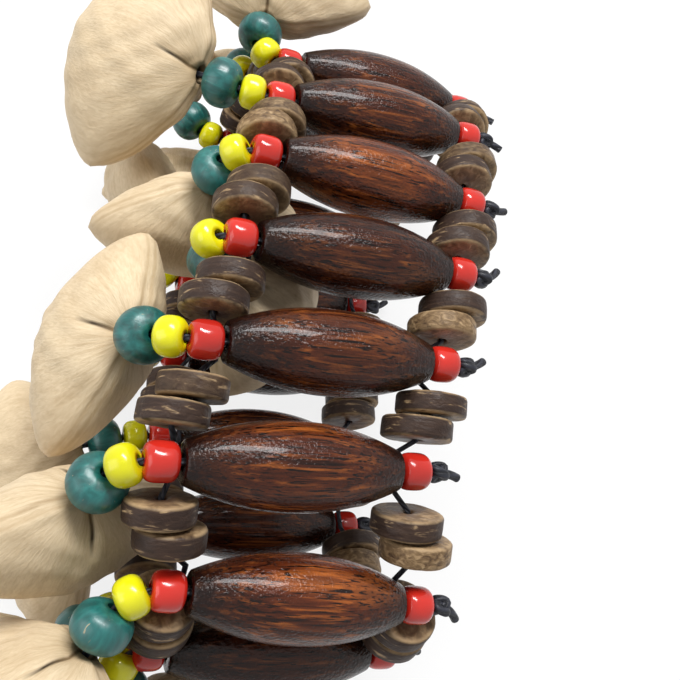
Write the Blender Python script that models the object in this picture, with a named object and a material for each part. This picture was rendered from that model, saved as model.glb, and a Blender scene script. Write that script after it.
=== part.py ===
"""Nutshell shaker bracelet, lying on its side.

Sixteen rows of beads make a stretchy oval band. Each row is an oval wooden bead on a knotted cord,
with a red bead at both ends and a yellow bead, a green bead and a hanging nutshell at one end.
Two elastic loops, strung with pairs of coconut discs, hold the rows side by side.
Metres, +Z up. The band's own frame has X along the wrist, Y along the oval and Z across it.
"""

import math

import bpy
from mathutils import Matrix, Vector

# The band
ROWS = 16
OVAL_HALF_LENGTH = 0.052
OVAL_HALF_HEIGHT = 0.0235
OVAL_FLAT_HEIGHT = 0.0205
OVAL_FLATNESS = 2.7
BAND_TILT = math.radians(20)
BAND_SKEW = math.radians(5.5)
BAND_PLACE = (0.0088, 0.0006)

# Oval wooden beads
BARREL_LENGTH = 0.030
BARREL_DIAMETER = 0.012
BARREL_TIP_DIAMETER = 0.0055
BARREL_BORE = 0.0022

# Small beads
RED_LENGTH = 0.0044
RED_DIAMETER = 0.0053
YELLOW_LENGTH = 0.0040
YELLOW_DIAMETER = 0.0055
GREEN_LENGTH = 0.0056
GREEN_DIAMETER = 0.0078
BEAD_GAP = 0.0002

# Cords
CORD_DIAMETER = 0.0010
KNOT_LENGTH = 0.0036
KNOT_DIAMETER = 0.0033
TAIL_LENGTH = 0.0040
KNOT_LIFT = 0.12
ELASTIC_DIAMETER = 0.0008
ELASTIC_GAP = 0.0004
ELASTIC_INSET = 0.0014
ELASTIC_DIP = 0.0035

# Coconut discs
DISC_DIAMETER = 0.0094
KNOT_DISC_DIAMETER = 0.0104
DISC_THICKNESS = 0.0032
DISC_SPACING = 0.0035
DISC_REACH = 0.0021
KNOT_DISC_REACH = 0.0026
DISC_CHAMFER = 0.0003
DISC_LEAN = 0.3
DISC_STAGGER = 0.5

# Nutshells
SHELL_WIDTH = 0.036
SHELL_DEPTH = 0.022
SHELL_THICKNESS = 0.017
SHELL_WALL = 0.0012
SHELL_HOLE = 0.0030
SHELL_GAP = 0.0009
SHELL_ROUNDNESS = 1.75
# Each shell's share of the full size, row by row
SHELL_SIZE = (1, 1.1, 1, 0.85, 1, 1, 1, 0.8, 0.8, 0.8, 0.8, 0.8, 0.8, 0.8, 0.8, 0.8)

# How each row lies: slack along the wrist and along the oval (mm), turn about the band's own Z (degrees)
ROW_SHIFT = (7.5, 4, 1.5, -1.5, -4.5, -7.5, -3, -2, -1.5, -1, -0.5, 0, 1, 3, 5, 6.5)
ROW_ALONG = (-1.5, -0.8, 0, 0, 0, 0.5, 2.5, 1.5, 0.8, 0, 0, 0, 0, 0, 0, -0.2)
ROW_TURN = (0, 2.5, -2.5, 0, 0.5, 0.5, -4, -2.5, -1, 0, 0, 0, 0, 0, 0, 0)

# Where each nutshell hangs: the way its cord ends (degrees from -X towards +Y, degrees up),
# then the shell's turn about that cord and its tip about its own width
CORD_END = (
    (100, -8, 0, 0),  # far side, high
    (20, 0, 20, 10),  # straight out
    (-15, -75, 90, 0),  # straight down, edge on
    (20, -128, 0, 0),  # curled back inside the band
    (25, -50, 12, 0),  # out and down
    (-28, -58, 90, 0),  # out and down, edge on
    (-60, -25, -30, -10),  # near side, high
    (-130, -60, 0, 0),  # near side, folded back beside the band
    (-45, -15, 0, 0),  # near side, low
    (-20, -40, 0, 0),  # on the floor
    (-20, 10, 0, 0),  # on top of the floor shells
    (5, -35, 0, 0),  # on the floor
    (75, 38, 80, 0),  # upright between the far shells
    (70, -36, 0, 0),  # on the floor
    (48, 5, 0, 0),  # far side, low
    (120, -60, 0, 0),  # far side, folded back beside the band
)

MM = 0.001
ROUND_STEPS = 10
UP = Vector((0, 0, 1))


def clear_scene():
    for obj in list(bpy.data.objects):
        bpy.data.objects.remove(obj, do_unlink=True)


def finish(name, color, roughness):
    """A plain material of one colour."""
    made = bpy.data.materials.new(name)
    made.use_nodes = True
    shader = made.node_tree.nodes["Principled BSDF"]
    shader.inputs["Base Color"].default_value = (*color, 1)
    shader.inputs["Roughness"].default_value = roughness
    shader.inputs["Metallic"].default_value = 0
    return made


def oval_point(angle):
    """A point of the band's oval: a half ellipse above, and a flatter half below, on the floor."""
    along, up = math.cos(angle), math.sin(angle)
    if up >= 0:
        return Vector((0, OVAL_HALF_LENGTH * along, OVAL_HALF_HEIGHT * up))
    power = 2 / OVAL_FLATNESS
    along = math.copysign(abs(along) ** power, along)
    return Vector((0, OVAL_HALF_LENGTH * along, -OVAL_FLAT_HEIGHT * (-up) ** power))


def oval_angles():
    """Angles that share the oval's length evenly among the rows. Row 4 lies at the top."""
    steps = 2880
    angles = [math.pi / 2 + 2 * math.pi * i / steps for i in range(steps + 1)]
    lengths = [0.0]
    for before, after in zip(angles, angles[1:]):
        lengths.append(lengths[-1] + (oval_point(after) - oval_point(before)).length)
    found = []
    for row in range(ROWS):
        wanted = (lengths[-1] * (row - 3) / ROWS + ROW_ALONG[row] * MM) % lengths[-1]
        found.append(angles[next(i for i, length in enumerate(lengths) if length >= wanted)])
    return found


class Row:
    """One row's place: its middle, its axis towards the knot, and the way out of the oval."""

    def __init__(self, index, angle):
        turn = BAND_SKEW + math.radians(ROW_TURN[index])
        self.middle = oval_point(angle) + Vector((ROW_SHIFT[index] * MM, 0, 0))
        self.axis = Vector((math.cos(turn), math.sin(turn), 0))
        along = oval_point(angle + 0.02) - oval_point(angle - 0.02)
        out = Vector((0, along.z, -along.y))
        self.out = (out - self.axis * out.dot(self.axis)).normalized()
        self.cord_end = CORD_END[index]

    def at(self, along, outward=0.0):
        return self.middle + self.axis * along + self.out * outward


def band_frame(rows):
    """The band's frame in the world: the nutshell side is up and the other discs touch the floor."""
    tip = Matrix.Rotation(BAND_TILT, 4, "Y")
    reach = BARREL_LENGTH / 2 + ELASTIC_GAP / 2 + KNOT_DISC_REACH
    lowest_disc = min((tip @ row.at(reach, -ELASTIC_INSET)).z for row in rows)
    edge = KNOT_DISC_DIAMETER * 0.479
    return Matrix.Translation((BAND_PLACE[0], BAND_PLACE[1], edge - lowest_disc)) @ tip


def bend(row, frame):
    """A function that gives the hanging cord's direction by the share of its bend."""
    start = frame.to_3x3() @ -row.axis
    start_turn = math.degrees(math.atan2(start.y, -start.x))
    start_rise = math.degrees(math.asin(start.z))
    end_turn, end_rise, _, _ = row.cord_end

    def direction(share):
        turn = math.radians(start_turn + (end_turn - start_turn) * share)
        rise = math.radians(start_rise + (end_rise - start_rise) * share)
        level = math.cos(rise)
        return Vector((-level * math.cos(turn), level * math.sin(turn), math.sin(rise)))

    return direction


def hanging_path(row, frame):
    """A function that gives the place and direction at a length of the hanging cord from the barrel's tip."""
    start = ELASTIC_GAP + RED_LENGTH * 0.6
    finish_at = start + RED_LENGTH + YELLOW_LENGTH
    direction = bend(row, frame)
    step = 0.0002
    places = [frame @ row.at(-BARREL_LENGTH / 2)]
    count = round((ELASTIC_GAP + RED_LENGTH + YELLOW_LENGTH + GREEN_LENGTH + 0.012) / step)
    ways = []
    for i in range(count):
        share = min(max((i * step - start) / (finish_at - start), 0), 1)
        ways.append(direction(share))
        places.append(places[-1] + ways[-1] * step)
    ways.append(ways[-1])

    def at(length):
        i = min(int(length / step), count - 1)
        return places[i] + ways[i] * (length - i * step), ways[i]

    return at


def hanging_lengths():
    """Lengths along the hanging cord: the middle of each bead, and the shell's pivot in its wall."""
    red = ELASTIC_GAP + RED_LENGTH / 2
    yellow = red + RED_LENGTH / 2 + BEAD_GAP + YELLOW_LENGTH / 2
    green = yellow + YELLOW_LENGTH / 2 + BEAD_GAP + GREEN_LENGTH / 2
    pivot = green + GREEN_LENGTH / 2 + SHELL_GAP + SHELL_WALL / 2
    return red, yellow, green, pivot


def tube(name, points, material, closed, sides_level):
    """A tube through (place, radius) points."""
    curve = bpy.data.curves.new(name, "CURVE")
    curve.dimensions = "3D"
    curve.bevel_depth = 1.0
    curve.bevel_resolution = sides_level
    curve.use_fill_caps = not closed
    spline = curve.splines.new("POLY")
    spline.points.add(len(points) - 1)
    for point, (place, radius) in zip(spline.points, points):
        point.co = (*place, 1)
        point.radius = radius
    spline.use_cyclic_u = closed
    curve.materials.append(material)
    obj = bpy.data.objects.new(name, curve)
    bpy.context.collection.objects.link(obj)
    return obj


def bead_rings(middle, length, diameter, rim):
    """(offset, radius) rings of a rounded bead round a cord."""
    half = length / 2
    return (
        (middle - half, rim),
        (middle - half * 0.4, diameter / 2),
        (middle + half * 0.4, diameter / 2),
        (middle + half, rim),
    )


def strand(row, number, frame, material):
    """A row's cord with its knot, tail and small beads."""
    cord = CORD_DIAMETER / 2
    tip = BARREL_LENGTH / 2
    rim = RED_DIAMETER * 0.3
    red_middle = tip + ELASTIC_GAP + RED_LENGTH / 2
    knot = tip + ELASTIC_GAP + RED_LENGTH + KNOT_LENGTH / 2
    knot_end = knot + KNOT_LENGTH / 2
    lift = UP * KNOT_LIFT * max(0, -row.out.z)

    def knot_side(along):
        return frame @ row.at(along) + lift * (along - tip)

    tail = knot_side(knot_end + TAIL_LENGTH * 0.4) + UP * TAIL_LENGTH * 0.15
    side = (frame.to_3x3() @ row.axis.cross(row.out)).normalized()
    points = [
        (tail + side * TAIL_LENGTH * 0.5 + UP * TAIL_LENGTH * 0.4, cord),
        (tail, cord),
        (knot_side(knot_end), cord * 1.2),
        (knot_side(knot + KNOT_LENGTH * 0.2), KNOT_DIAMETER / 2),
        (knot_side(knot - KNOT_LENGTH * 0.2), KNOT_DIAMETER / 2),
        (knot_side(knot - KNOT_LENGTH * 0.45), cord),
    ]
    for offset, radius in reversed(bead_rings(red_middle, RED_LENGTH, RED_DIAMETER, rim)):
        points.append((knot_side(offset), radius))
    points.append((knot_side(tip + ELASTIC_GAP * 0.9), cord))
    points.append((frame @ row.at(-tip - ELASTIC_GAP * 0.9), cord))
    hang = hanging_path(row, frame)
    red, yellow, green, pivot = hanging_lengths()
    for middle, length, diameter in (
        (red, RED_LENGTH, RED_DIAMETER),
        (yellow, YELLOW_LENGTH, YELLOW_DIAMETER),
        (green, GREEN_LENGTH, GREEN_DIAMETER),
    ):
        for offset, radius in bead_rings(middle, length, diameter, rim):
            points.append((hang(offset)[0], radius))
    points.append((hang(green + GREEN_LENGTH / 2 + BEAD_GAP)[0], cord))
    points.append((hang(pivot + SHELL_WALL)[0], cord))
    return tube(f"beaded_cord_{number:02d}", points, material, False, 1)


def barrel(row, number, frame, material):
    """An oval wooden bead, bored for its cord."""
    half = BARREL_LENGTH / 2
    widest, tip, bore = BARREL_DIAMETER / 2, BARREL_TIP_DIAMETER / 2, BARREL_BORE / 2
    heights = (1, 0.8, 0.5, 0, -0.5, -0.8, -1)
    outline = [(tip + (widest - tip) * (1 - abs(h) ** 2.1), half * h) for h in heights]
    outline += [(bore, -half), (bore, half)]
    mesh = bpy.data.meshes.new(f"barrel_bead_{number:02d}")
    count = len(outline)
    mesh.from_pydata([(x, 0, z) for x, z in outline], [(i, (i + 1) % count) for i in range(count)], [])
    obj = bpy.data.objects.new(mesh.name, mesh)
    bpy.context.collection.objects.link(obj)
    obj.data.materials.append(material)
    turned = obj.modifiers.new("turned", "SCREW")
    turned.steps = turned.render_steps = ROUND_STEPS
    turned.use_merge_vertices = True
    turned.merge_threshold = 0.00001
    turned.use_smooth_shade = True
    obj.location = frame @ row.middle
    obj.rotation_mode = "QUATERNION"
    obj.rotation_quaternion = (frame.to_3x3() @ row.axis).to_track_quat("Z", "Y")
    return obj


def nutshell(row, number, frame, material):
    """A hollow two-horned nutshell that hangs from a hole in the middle of its ridge."""
    half = Vector((SHELL_WIDTH, SHELL_THICKNESS, SHELL_DEPTH)) * SHELL_SIZE[number - 1] / 2
    rings, sides = 6, 10
    hole_angle = math.asin(SHELL_HOLE / 2 / half.y) * 0.55
    points, faces = [], []
    for ring in range(rings):
        polar = hole_angle + (math.pi - hole_angle) * ring / rings
        for side in range(sides):
            turn = 2 * math.pi * side / sides
            round_hole = Vector((math.cos(turn), math.sin(turn), 0))
            if ring == 0:
                points.append(round_hole * SHELL_HOLE / 2 + UP * half.z * 0.97)
                continue
            way = round_hole * math.sin(polar) + UP * math.cos(polar)
            power = SHELL_ROUNDNESS
            points.append(way * sum(abs(w / h) ** power for w, h in zip(way, half)) ** (-1 / power))
    points.append(Vector((0, 0, -half.z)))
    for ring in range(rings - 1):
        for side in range(sides):
            a, b = ring * sides + side, ring * sides + (side + 1) % sides
            faces.append((a, a + sides, b + sides, b))
    last = (rings - 1) * sides
    faces += [(last + side, len(points) - 1, last + (side + 1) % sides) for side in range(sides)]
    hang_from = half.z * 0.97 - SHELL_WALL / 2
    mesh = bpy.data.meshes.new(f"nutshell_{number:02d}")
    mesh.from_pydata([p - Vector((0, 0, hang_from)) for p in points], [], faces)
    mesh.shade_smooth()
    obj = bpy.data.objects.new(mesh.name, mesh)
    bpy.context.collection.objects.link(obj)
    obj.data.materials.append(material)
    wall = obj.modifiers.new("wall", "SOLIDIFY")
    wall.thickness = SHELL_WALL
    wall.offset = -1
    _, _, _, pivot = hanging_lengths()
    place, way = hanging_path(row, frame)(pivot)
    wide = UP.cross(way).normalized()
    turned = Matrix((wide, (-way).cross(wide), -way)).transposed()
    obj.location = place
    obj.rotation_mode = "QUATERNION"
    twist = Matrix.Rotation(math.radians(row.cord_end[2]), 3, "Z")
    tip = Matrix.Rotation(math.radians(row.cord_end[3]), 3, "X")
    obj.rotation_quaternion = (turned @ twist @ tip).to_quaternion()
    return obj


def disc_string(name, rows, frame, side, diameter, reach, material):
    """An elastic loop with two coconut discs between neighbouring rows."""
    cord, disc = ELASTIC_DIAMETER / 2, diameter / 2
    half = DISC_THICKNESS / 2
    rim = half - DISC_CHAMFER
    cross = BARREL_LENGTH / 2 + ELASTIC_GAP / 2
    points = []
    for row, after in zip(rows, rows[1:] + rows[:1]):
        along = row.axis.cross(row.out) * RED_DIAMETER * 0.3
        points.append((frame @ (row.at(side * cross, -ELASTIC_DIP) - along), cord))
        points.append((frame @ (row.at(side * cross, -ELASTIC_DIP) + along), cord))
        near = row.at(side * (cross + reach), -ELASTIC_INSET)
        far = after.at(side * (cross + reach), -ELASTIC_INSET)
        level = (row.axis + after.axis).cross(row.out + after.out).normalized()
        way = level.lerp((far - near).normalized(), DISC_LEAN).normalized()
        for share in (-0.5, 0.5):
            stagger = (far - near - level * (far - near).dot(level)) * share * DISC_STAGGER
            middle = (near + far) / 2 + level * DISC_SPACING * share + stagger
            for offset, radius in ((-half, cord), (-rim, disc), (rim, disc), (half, cord)):
                points.append((frame @ (middle + way * offset), radius))
    return tube(name, points, material, True, 2)


def main():
    clear_scene()
    rows = [Row(i, angle) for i, angle in enumerate(oval_angles())]
    frame = band_frame(rows)
    wood = finish("stained_wood", (0.09, 0.028, 0.014), 0.3)
    beads = finish("bead_red", (0.65, 0.03, 0.02), 0.2)
    shell = finish("nutshell", (0.72, 0.58, 0.38), 0.6)
    coconut = finish("coconut", (0.11, 0.06, 0.035), 0.5)
    for number, row in enumerate(rows, 1):
        barrel(row, number, frame, wood)
        strand(row, number, frame, beads)
        nutshell(row, number, frame, shell)
    disc_string("disc_string_shell_side", rows, frame, -1, DISC_DIAMETER, DISC_REACH, coconut)
    disc_string("disc_string_knot_side", rows, frame, 1, KNOT_DISC_DIAMETER, KNOT_DISC_REACH, coconut)


main()
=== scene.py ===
"""Dresses the nutshell shaker bracelet for a picture, as a Blender add-on.

Every bead, disc, cord and shell gets its own form and finish,
laid out by the same rules as the solids.
"""

import math

import bmesh
import bpy
from mathutils import Matrix, Vector


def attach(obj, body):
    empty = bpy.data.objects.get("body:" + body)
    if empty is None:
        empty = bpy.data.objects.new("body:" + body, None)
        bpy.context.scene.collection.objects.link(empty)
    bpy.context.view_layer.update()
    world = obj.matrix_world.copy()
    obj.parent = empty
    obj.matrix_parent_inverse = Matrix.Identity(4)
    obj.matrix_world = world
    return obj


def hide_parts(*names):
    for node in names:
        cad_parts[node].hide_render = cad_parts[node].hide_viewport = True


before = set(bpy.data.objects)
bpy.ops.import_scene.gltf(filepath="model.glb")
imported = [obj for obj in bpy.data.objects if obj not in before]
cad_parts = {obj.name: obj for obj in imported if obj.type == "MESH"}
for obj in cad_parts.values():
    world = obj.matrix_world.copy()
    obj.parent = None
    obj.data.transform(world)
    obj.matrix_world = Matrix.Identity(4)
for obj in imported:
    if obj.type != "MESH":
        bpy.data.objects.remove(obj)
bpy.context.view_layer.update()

bl_info = {
    "name": "Nutshell Shaker Bracelet",
    "version": (1, 0, 0),
    "blender": (4, 5, 0),
    "location": "View3D > Sidebar > Shaker Bracelet",
    "description": "Builds the beads, discs, cords and nutshells of a shaker bracelet",
    "category": "Object",
}

MM = 0.001
UP = Vector((0, 0, 1))
BODY = "band"

# The band's lay, as the solids have it: the oval, its tilt and place
ROWS = 16
ROWS_BEFORE_TOP = 3
OVAL = (0.052, 0.0235, 0.0205, 2.7)
OVAL_STEPS = 2880
BAND_TILT = math.radians(20)
BAND_SKEW = math.radians(5.5)
BAND_PLACE = (0.0088, 0.0006)
ELASTIC_GAP = 0.0004
ELASTIC_INSET = 0.0014
ELASTIC_DIP = 0.0035
BEAD_GAP = 0.0002
KNOT_LIFT = 0.12
DISC_SPACING = 0.0035
DISC_REACH = 0.0021
KNOT_DISC_REACH = 0.0026
DISC_LEAN = 0.3
DISC_STAGGER = 0.5
SHELL_GAP = 0.0009
# The share of its diameter at which the lowest disc's middle lies above the floor
DISC_STAND = 0.479
# Shares of a red bead: where the elastic passes beside the cord, and where the cord starts to bend
ELASTIC_BESIDE = 0.3
BEND_START = 0.6

# Cords: the step and spare length they are walked with, shares of their diameter, and their tails
CORD_STEP = 0.0002
CORD_SPARE = 0.012
BORE_ROOM = 1.5
KNOT_CORD = 1.45
TAIL_CORD = 1.25
TAIL_STEPS = 8
TAIL_STRAIGHT = 0.85
TAIL_SWAY = 0.5
TAIL_DROOP = 0.12
# Where a cord passes the barrel's tip, and how many walls deep it ends in its shell
CORD_IN_TIP = 0.9
CORD_PAST_WALL = 1.4

# A threaded ring's section, and the grain of its unevenness
RING_STEPS = 28
WOBBLE_SCALE = 420.0

# What changes from one piece to the next: the finish's seed, and the turn of the grain
BARREL_SEED = 0.27
BARREL_SPIN = 2.4
SHELL_SEED = 0.618

# The nutshell: how round its body is, how drawn out its horns are, and the relief of its skin
SHELL_ROUNDNESS = 1.75
SHELL_HORNS = 1.55
SHELL_TOP = 0.97
SKIN_INSET = 0.0002
SHOULDER_HEIGHT = 0.0006
SEAM_HEIGHT = 0.0003
SEAM_APART = 0.0011
CREASE_DEPTH = 0.0006
WAVE_HEIGHT = 0.00018
# Points of a shell nearer than this are one
MERGE = 0.00002

# Each row's slack along the wrist and along the oval (mm) and its turn (degrees)
ROW_SHIFT = (7.5, 4, 1.5, -1.5, -4.5, -7.5, -3, -2, -1.5, -1, -0.5, 0, 1, 3, 5, 6.5)
ROW_ALONG = (-1.5, -0.8, 0, 0, 0, 0.5, 2.5, 1.5, 0.8, 0, 0, 0, 0, 0, 0, -0.2)
ROW_TURN = (0, 2.5, -2.5, 0, 0.5, 0.5, -4, -2.5, -1, 0, 0, 0, 0, 0, 0, 0)

# The way each hanging cord ends (turn and rise), then its shell's turn and tip
CORD_END = (
    (100, -8, 0, 0),
    (20, 0, 20, 10),
    (-15, -75, 90, 0),
    (20, -128, 0, 0),
    (25, -50, 12, 0),
    (-28, -58, 90, 0),
    (-60, -25, -30, -10),
    (-130, -60, 0, 0),
    (-45, -15, 0, 0),
    (-20, -40, 0, 0),
    (-20, 10, 0, 0),
    (5, -35, 0, 0),
    (75, 38, 80, 0),
    (70, -36, 0, 0),
    (48, 5, 0, 0),
    (120, -60, 0, 0),
)
# Each shell's share of the full size
SHELL_SIZE = (1, 1.1, 1, 0.85, 1, 1, 1, 0.8, 0.8, 0.8, 0.8, 0.8, 0.8, 0.8, 0.8, 0.8)

# The photograph's camera, in the band's own frame
CAMERA_PLACE = (-0.0435, -0.0603, 0.1140)
CAMERA_WAY = (0.364, 0.426, -0.828)
CAMERA_RIGHT = (0.910, 0.026, 0.413)
CAMERA_FOCAL = 800 / 680
SENSOR = 36

# The stage: the floor's half width, where its shadow fades to white and how far, and the light
FLOOR_HALF = 3.0
FLOOR_FADE = (0.12, 0.40, 0.84, 1.0)
LAMP_TARGET = (0, 0, 0.04)
WORLD_LIGHT = 0.26


def length_prop(name, text, default):
    """A size that a user may change, in metres."""
    return bpy.props.FloatProperty(
        name=name, description=text, default=default, min=0.0001, unit="LENGTH", precision=5
    )


def colour_prop(name, text, default):
    """A colour that a user may change."""
    return bpy.props.FloatVectorProperty(
        name=name, description=text, default=default, size=3, min=0, max=1, subtype="COLOR"
    )


class BraceletSizes(bpy.types.PropertyGroup):
    """Sizes of the bracelet's pieces."""

    barrel_length: length_prop("Barrel Length", "Length of an oval wooden bead", 0.030)
    barrel_diameter: length_prop("Barrel Diameter", "Widest diameter of an oval bead", 0.012)
    barrel_tip: length_prop("Barrel Tip", "Diameter of its flat ends", 0.0055)
    barrel_bore: length_prop("Barrel Bore", "Hole through an oval wooden bead", 0.0022)
    red_length: length_prop("Red Length", "Length of a red bead", 0.0044)
    red_diameter: length_prop("Red Diameter", "Diameter of a red bead", 0.0053)
    yellow_length: length_prop("Yellow Length", "Length of a yellow bead", 0.0040)
    yellow_diameter: length_prop("Yellow Diameter", "Diameter of a yellow bead", 0.0055)
    green_length: length_prop("Green Length", "Length of a green bead", 0.0056)
    green_diameter: length_prop("Green Diameter", "Diameter of a green bead", 0.0078)
    disc_diameter: length_prop("Disc Diameter", "Coconut disc by the nutshells", 0.0094)
    knot_disc_diameter: length_prop("Knot Disc Diameter", "Coconut disc by the knots", 0.0104)
    disc_thickness: length_prop("Disc Thickness", "Thickness of a coconut disc", 0.0032)
    cord_diameter: length_prop("Cord Diameter", "Diameter of the waxed row cords", 0.0010)
    elastic_diameter: length_prop("Elastic Diameter", "Diameter of the elastic loops", 0.0008)
    knot_length: length_prop("Knot Length", "Length of a cord's knot", 0.0036)
    knot_diameter: length_prop("Knot Diameter", "Diameter of a cord's knot", 0.0033)
    tail_length: length_prop("Tail Length", "Length of the cord beyond its knot", 0.0040)
    shell_width: length_prop("Shell Width", "Nutshell from horn to horn", 0.036)
    shell_depth: length_prop("Shell Depth", "Nutshell from its hole to its keel", 0.022)
    shell_thickness: length_prop("Shell Thickness", "Nutshell across its faces", 0.017)
    shell_wall: length_prop("Shell Wall", "Thickness of a nutshell's wall", 0.0012)
    shell_hole: length_prop("Shell Hole", "Hole where the cord goes in", 0.0030)


class BraceletColours(bpy.types.PropertyGroup):
    """Colours of the bracelet's finishes."""

    wood_dark: colour_prop("Dark Wood", "Stain in ends and deep grain", (0.008, 0.0032, 0.0026))
    wood_mid: colour_prop("Wood", "Stained wood", (0.074, 0.0180, 0.0066))
    wood_light: colour_prop("Light Grain", "Streaks of paler grain", (0.42, 0.138, 0.029))
    coconut_dark: colour_prop("Dark Coconut", "Outer coconut shell", (0.030, 0.017, 0.0125))
    coconut_light: colour_prop("Light Coconut", "Fibres and worn rims", (0.42, 0.29, 0.16))
    red: colour_prop("Red", "Red beads", (0.58, 0.022, 0.013))
    yellow: colour_prop("Yellow", "Yellow beads", (0.76, 0.73, 0.006))
    green: colour_prop("Green", "Green painted beads", (0.006, 0.098, 0.092))
    cord: colour_prop("Cord", "Waxed cord and elastic", (0.014, 0.015, 0.021))
    shell_light: colour_prop("Light Shell", "Nutshell", (0.68, 0.55, 0.370))
    # Dark Shell is also the painted shade in the shell's crease and round its cord hole
    shell_dark: colour_prop("Dark Shell", "Creases and fibres of a shell", (0.36, 0.235, 0.115))
    floor: colour_prop("Floor", "Floor under the bracelet", (0.95, 0.95, 0.95))


def sizes():
    return bpy.context.scene.bracelet_sizes


def colours():
    return bpy.context.scene.bracelet_colours


def oval_point(angle):
    """A point of the band's oval: a half ellipse above, and a flatter half below."""
    half_length, half_height, flat_height, flatness = OVAL
    along, up = math.cos(angle), math.sin(angle)
    if up >= 0:
        return Vector((0, half_length * along, half_height * up))
    power = 2 / flatness
    along = math.copysign(abs(along) ** power, along)
    return Vector((0, half_length * along, -flat_height * (-up) ** power))


def oval_angles():
    """Angles that share the oval's length evenly among the rows. Row 4 lies at the top."""
    angles = [math.pi / 2 + math.tau * i / OVAL_STEPS for i in range(OVAL_STEPS + 1)]
    lengths = [0.0]
    for before, after in zip(angles, angles[1:]):
        lengths.append(lengths[-1] + (oval_point(after) - oval_point(before)).length)
    found = []
    for row in range(ROWS):
        share = (row - ROWS_BEFORE_TOP) / ROWS
        wanted = (lengths[-1] * share + ROW_ALONG[row] * MM) % lengths[-1]
        found.append(angles[next(i for i, length in enumerate(lengths) if length >= wanted)])
    return found


class Row:
    """One row's place: its middle, its axis towards the knot, and the way out of the oval."""

    def __init__(self, index, angle):
        turn = BAND_SKEW + math.radians(ROW_TURN[index])
        self.index = index
        self.middle = oval_point(angle) + Vector((ROW_SHIFT[index] * MM, 0, 0))
        self.axis = Vector((math.cos(turn), math.sin(turn), 0))
        aside = 0.02
        along = oval_point(angle + aside) - oval_point(angle - aside)
        out = Vector((0, along.z, -along.y))
        self.out = (out - self.axis * out.dot(self.axis)).normalized()
        self.turn_end, self.rise_end, self.shell_turn, self.shell_tip = CORD_END[index]

    def at(self, along, outward=0.0):
        return self.middle + self.axis * along + self.out * outward


class Lay:
    """Where everything lies: the rows, and the band's frame in the world."""

    def __init__(self):
        size = sizes()
        self.rows = [Row(i, angle) for i, angle in enumerate(oval_angles())]
        self.tip = size.barrel_length / 2
        tilt = Matrix.Rotation(BAND_TILT, 4, "Y")
        reach = self.tip + ELASTIC_GAP / 2 + KNOT_DISC_REACH
        lowest_disc = min((tilt @ row.at(reach, -ELASTIC_INSET)).z for row in self.rows)
        rise = size.knot_disc_diameter * DISC_STAND - lowest_disc
        self.frame = Matrix.Translation((BAND_PLACE[0], BAND_PLACE[1], rise)) @ tilt
        self.turned = self.frame.to_3x3()
        self.red = ELASTIC_GAP + size.red_length / 2
        self.yellow = self.red + (size.red_length + size.yellow_length) / 2 + BEAD_GAP
        self.green = self.yellow + (size.yellow_length + size.green_length) / 2 + BEAD_GAP
        self.pivot = self.green + size.green_length / 2 + SHELL_GAP + size.shell_wall / 2

    def knot_side(self, row, along):
        """A place on the row's axis towards the knot. The lowest rows lift clear of the floor."""
        lift = UP * KNOT_LIFT * max(0, -row.out.z)
        return self.frame @ row.at(along) + lift * (along - self.tip)

    def hanging(self, row):
        """A function for the place and way at a length of hanging cord from the barrel's tip."""
        size = sizes()
        way = self.turned @ -row.axis
        first = (math.degrees(math.atan2(way.y, -way.x)), math.degrees(math.asin(way.z)))
        start = ELASTIC_GAP + size.red_length * BEND_START
        bend = size.red_length + size.yellow_length
        places = [self.frame @ row.at(-self.tip)]
        ways = []
        for i in range(round((self.pivot + CORD_SPARE) / CORD_STEP)):
            share = min(max((i * CORD_STEP - start) / bend, 0), 1)
            turn = math.radians(first[0] + (row.turn_end - first[0]) * share)
            rise = math.radians(first[1] + (row.rise_end - first[1]) * share)
            level = math.cos(rise)
            ways.append(Vector((-level * math.cos(turn), level * math.sin(turn), math.sin(rise))))
            places.append(places[-1] + ways[-1] * CORD_STEP)

        def at(length):
            i = min(int(length / CORD_STEP), len(ways) - 1)
            return places[i] + ways[i] * (length - i * CORD_STEP), ways[i]

        return at

    def shell_frame(self, row):
        """The nutshell's frame: X from horn to horn, Z towards its cord."""
        place, way = self.hanging(row)(self.pivot)
        wide = UP.cross(way).normalized()
        turned = Matrix((wide, (-way).cross(wide), -way)).transposed()
        twist = Matrix.Rotation(math.radians(row.shell_turn), 3, "Z")
        tip = Matrix.Rotation(math.radians(row.shell_tip), 3, "X")
        return Matrix.Translation(place) @ (turned @ twist @ tip).to_4x4()

    def discs(self, side):
        """(place, way) of every disc on one side, and the points of the elastic through them."""
        size = sizes()
        cross = self.tip + ELASTIC_GAP / 2
        reach = cross + (KNOT_DISC_REACH if side > 0 else DISC_REACH)
        places, thread = [], []
        for row, after in zip(self.rows, self.rows[1:] + self.rows[:1]):
            beside = row.axis.cross(row.out) * size.red_diameter * ELASTIC_BESIDE
            thread.append(self.frame @ (row.at(side * cross, -ELASTIC_DIP) - beside))
            thread.append(self.frame @ (row.at(side * cross, -ELASTIC_DIP) + beside))
            near = row.at(side * reach, -ELASTIC_INSET)
            far = after.at(side * reach, -ELASTIC_INSET)
            level = (row.axis + after.axis).cross(row.out + after.out).normalized()
            way = level.lerp((far - near).normalized(), DISC_LEAN).normalized()
            for share in (-0.5, 0.5):
                stagger = (far - near - level * (far - near).dot(level)) * share * DISC_STAGGER
                middle = (near + far) / 2 + level * DISC_SPACING * share + stagger
                places.append((self.frame @ middle, self.turned @ way))
                for offset in (-0.5, 0.5):
                    thread.append(self.frame @ (middle + way * offset * size.disc_thickness))
        return places, thread


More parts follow.
